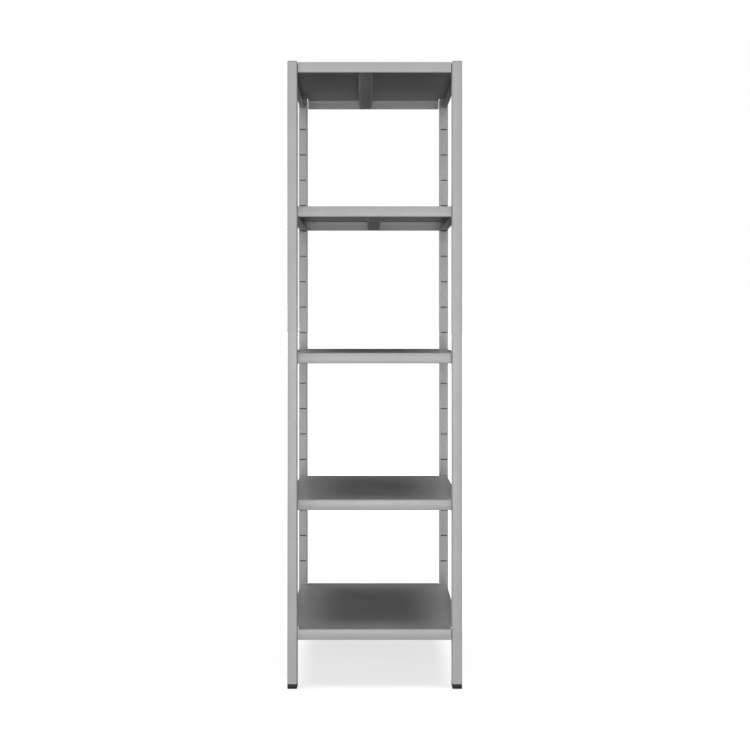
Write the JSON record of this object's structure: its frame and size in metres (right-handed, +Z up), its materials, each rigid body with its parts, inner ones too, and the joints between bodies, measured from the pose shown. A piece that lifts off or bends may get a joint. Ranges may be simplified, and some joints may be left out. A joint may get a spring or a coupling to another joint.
{
  "type": "shelving unit",
  "caption": "Tall narrow boltless steel shelving unit: slotted square uprights carry folded sheet-metal shelves, some of them on hook-in clips that let them lift off.",
  "frame": {"origin": "centre of the footprint on the floor", "axes": "+X to the right seen from the front, +Y to the back, +Z up; the front faces -Y"},
  "size_m": [0.5, 0.4, 1.796],
  "materials": {
    "painted_steel": "smooth satin light grey powder coat",
    "zinc_steel": "zinc plated",
    "black_plastic": "moulded black",
    "grey_plastic": "moulded grey"
  },
  "bodies": {
    "frame": {"post_front_left": "painted_steel", "post_front_right": "painted_steel", "post_rear_left": "painted_steel", "post_rear_right": "painted_steel", "foot_front_left": "black_plastic", "foot_front_right": "black_plastic", "foot_rear_left": "black_plastic", "foot_rear_right": "black_plastic", "cap_front_left": "grey_plastic", "cap_front_right": "grey_plastic", "cap_rear_left": "grey_plastic", "cap_rear_right": "grey_plastic", "shelf_bottom": "painted_steel", "stiffener_bottom": "painted_steel", "shelf_top": "painted_steel", "stiffener_top": "painted_steel", "clip_lower_front_left": "zinc_steel", "clip_lower_front_right": "zinc_steel", "clip_lower_rear_left": "zinc_steel", "clip_lower_rear_right": "zinc_steel", "clip_middle_front_left": "zinc_steel", "clip_middle_front_right": "zinc_steel", "clip_middle_rear_left": "zinc_steel", "clip_middle_rear_right": "zinc_steel", "clip_upper_front_left": "zinc_steel", "clip_upper_front_right": "zinc_steel", "clip_upper_rear_left": "zinc_steel", "clip_upper_rear_right": "zinc_steel", "bracket_bottom_front_left": "painted_steel", "bracket_bottom_front_right": "painted_steel", "bracket_bottom_rear_left": "painted_steel", "bracket_bottom_rear_right": "painted_steel", "bracket_top_front_left": "painted_steel", "bracket_top_front_right": "painted_steel", "bracket_top_rear_left": "painted_steel", "bracket_top_rear_right": "painted_steel", "bolt_bottom_front_left": "zinc_steel", "bolt_bottom_front_right": "zinc_steel", "bolt_bottom_rear_left": "zinc_steel", "bolt_bottom_rear_right": "zinc_steel", "bolt_top_front_left": "zinc_steel", "bolt_top_front_right": "zinc_steel", "bolt_top_rear_left": "zinc_steel", "bolt_top_rear_right": "zinc_steel"},
    "lower_shelf": {"shelf_lower": "painted_steel", "stiffener_lower": "painted_steel"},
    "middle_shelf": {"shelf_middle": "painted_steel", "stiffener_middle": "painted_steel"},
    "upper_shelf": {"shelf_upper": "painted_steel", "stiffener_upper": "painted_steel"}
  },
  "joints": [
    {"name": "lower_shelf_lift", "type": "slide", "parent": "frame", "child": "lower_shelf", "axis": [0, 0, 1], "range_m": [0, 0.38]},
    {"name": "middle_shelf_lift", "type": "slide", "parent": "frame", "child": "middle_shelf", "axis": [0, 0, 1], "range_m": [0, 0.38]},
    {"name": "upper_shelf_lift", "type": "slide", "parent": "frame", "child": "upper_shelf", "axis": [0, 0, 1], "range_m": [0, 0.38]}
  ]
}
